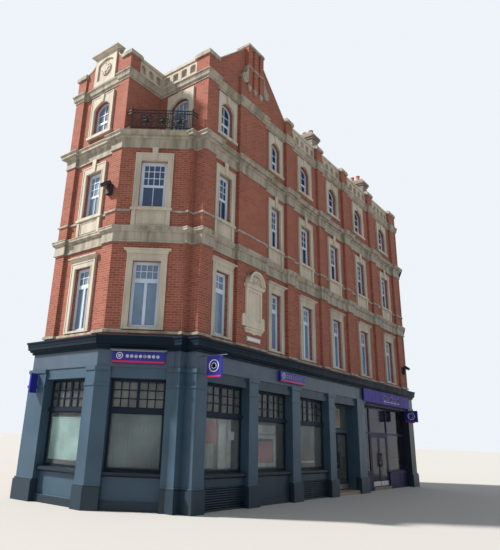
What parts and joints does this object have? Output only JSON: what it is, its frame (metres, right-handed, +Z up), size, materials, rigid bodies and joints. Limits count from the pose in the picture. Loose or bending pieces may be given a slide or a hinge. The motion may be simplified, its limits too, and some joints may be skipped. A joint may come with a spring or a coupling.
{
  "type": "corner shop building",
  "caption": "Brick corner building with stone dressings, a splayed corner with a balcony, painted shopfronts, gable, panelled parapets and chimneys.",
  "frame": {"origin": "centre of the building's bounding box at ground level", "axes": "+X along the long street face, +Y from that face to the rear, +Z up"},
  "size_m": [19.54, 6.51, 17.31],
  "materials": {
    "brick": "laid brick",
    "party_brick": "laid brick",
    "render": "painted",
    "boards": "worn",
    "stone": "weathered",
    "dark_stone": "weathered",
    "white_paint": "painted",
    "glass": "clear",
    "shop_paint": "satin paint",
    "dark_shop_paint": "satin paint",
    "dark_joinery": "satin paint",
    "side_paint": "satin",
    "purple_board": "satin",
    "blue_sign": "satin",
    "lamp_metal": "satin",
    "roof_felt": "matte",
    "slate": "slate",
    "terracotta": "fired",
    "chimney_brick": "weathered",
    "iron": "painted"
  },
  "bodies": {
    "building": {"brick_piers": "brick", "first_floor_wall": "brick", "second_floor_wall": "brick", "third_floor_wall": "brick", "corner_wall": "brick", "tower_walls": "brick", "rear_wall": "brick", "party_wall": "party_brick", "ground_piers": "render", "floors": "boards", "string_courses": "stone", "main_cornice": "stone", "upper_cornice": "stone", "first_surrounds": "stone", "second_surrounds": "stone", "third_surrounds": "stone", "window_frames": "white_paint", "window_glass": "glass", "shop_pilasters": "shop_paint", "shop_frames": "dark_joinery", "shop_glass": "glass", "shop_panels": "dark_shop_paint", "fascia": "shop_paint", "shop_cornice": "shop_paint", "entrance_frame": "shop_paint", "side_shop_front": "side_paint", "side_shop_board": "purple_board", "sign_panels": "blue_sign", "lamp_brackets": "lamp_metal", "roof_deck": "roof_felt", "slate_roof": "slate", "parapet_piers": "brick", "parapet_caps": "dark_stone", "balustrades": "stone", "tower_crest": "stone", "gable": "brick", "gable_stonework": "dark_stone", "chimneys": "chimney_brick", "chimney_pots": "terracotta", "balcony_railing": "iron", "wall_plaque": "stone"},
    "bank_left_leaf": {"bank_door_left": "dark_joinery", "bank_glass_left": "glass"},
    "bank_right_leaf": {"bank_door_right": "dark_joinery", "bank_glass_right": "glass"},
    "side_left_leaf": {"side_door_left": "side_paint", "side_glass_left": "glass"},
    "side_right_leaf": {"side_door_right": "side_paint", "side_glass_right": "glass"}
  },
  "joints": [
    {"name": "bank_left_hinge", "type": "hinge", "parent": "building", "child": "bank_left_leaf", "pos_m": [0.673, -1.86, 1.22], "axis": [0, 0, 1], "range_deg": [0, 90]},
    {"name": "bank_right_hinge", "type": "hinge", "parent": "building", "child": "bank_right_leaf", "pos_m": [2.641, -1.86, 1.22], "axis": [0, 0, -1], "range_deg": [0, 90]},
    {"name": "side_left_hinge", "type": "hinge", "parent": "building", "child": "side_left_leaf", "pos_m": [4.6835, -2.06, 1.22], "axis": [0, 0, 1], "range_deg": [0, 90]},
    {"name": "side_right_hinge", "type": "hinge", "parent": "building", "child": "side_right_leaf", "pos_m": [6.5535, -2.06, 1.22], "axis": [0, 0, -1], "range_deg": [0, 90]}
  ]
}
